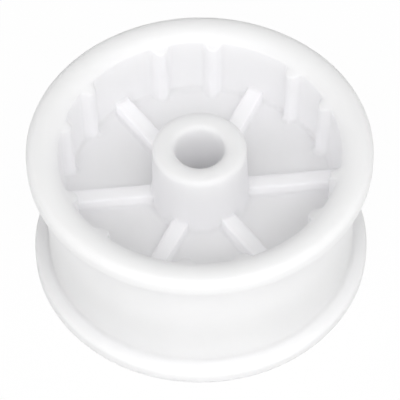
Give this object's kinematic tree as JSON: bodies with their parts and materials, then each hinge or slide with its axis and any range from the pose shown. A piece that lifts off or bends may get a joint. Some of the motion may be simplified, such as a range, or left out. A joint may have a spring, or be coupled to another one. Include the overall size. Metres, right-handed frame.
{
  "type": "dryer idler pulley",
  "caption": "Moulded plastic idler pulley wheel with a flanged belt rim, a web with radial spokes and a plain bore for a fixed shaft.",
  "frame": {"origin": "on the bore axis, in the plane that the wheel stands on, which touches the lower rim end", "axes": "+Z along the bore axis and up, +X along one of the spokes"},
  "size_m": [0.0635, 0.0634, 0.0318],
  "materials": {
    "natural_white_plastic": "satin, slightly translucent"
  },
  "bodies": {
    "root": {"pulley_wheel": "natural_white_plastic"}
  },
  "joints": []
}
